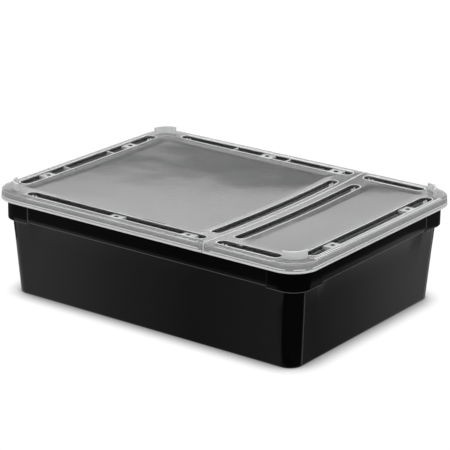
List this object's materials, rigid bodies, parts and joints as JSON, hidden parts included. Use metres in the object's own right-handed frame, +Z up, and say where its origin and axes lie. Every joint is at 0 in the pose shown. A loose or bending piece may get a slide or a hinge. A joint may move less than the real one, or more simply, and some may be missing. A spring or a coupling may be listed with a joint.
{
  "type": "lidded keeping tub",
  "caption": "Low oblong black tub with a translucent press-on lid whose end section is a feeding flap on a living hinge.",
  "frame": {"origin": "on the floor under the middle of the tub and of the closed lid", "axes": "+X along the long side towards the flap end, +Z up"},
  "size_m": [0.32, 0.24, 0.1005],
  "materials": {
    "black_polypropylene": "gloss moulded",
    "natural_polypropylene": "milky translucent, gloss moulded"
  },
  "bodies": {
    "tub": {"tub": "black_polypropylene"},
    "lid": {"main_lid": "natural_polypropylene", "living_hinge": "natural_polypropylene"},
    "flap": {"feeding_flap": "natural_polypropylene"}
  },
  "joints": [
    {"name": "lid_lift", "type": "slide", "parent": "tub", "child": "lid", "axis": [0, 0, 1], "range_m": [0, 0.12]},
    {"name": "flap_hinge", "type": "hinge", "parent": "lid", "child": "flap", "pos_m": [0.0655, 0, 0.094], "axis": [0, -1, 0], "range_deg": [0, 170], "deforming": ["living_hinge"]}
  ]
}
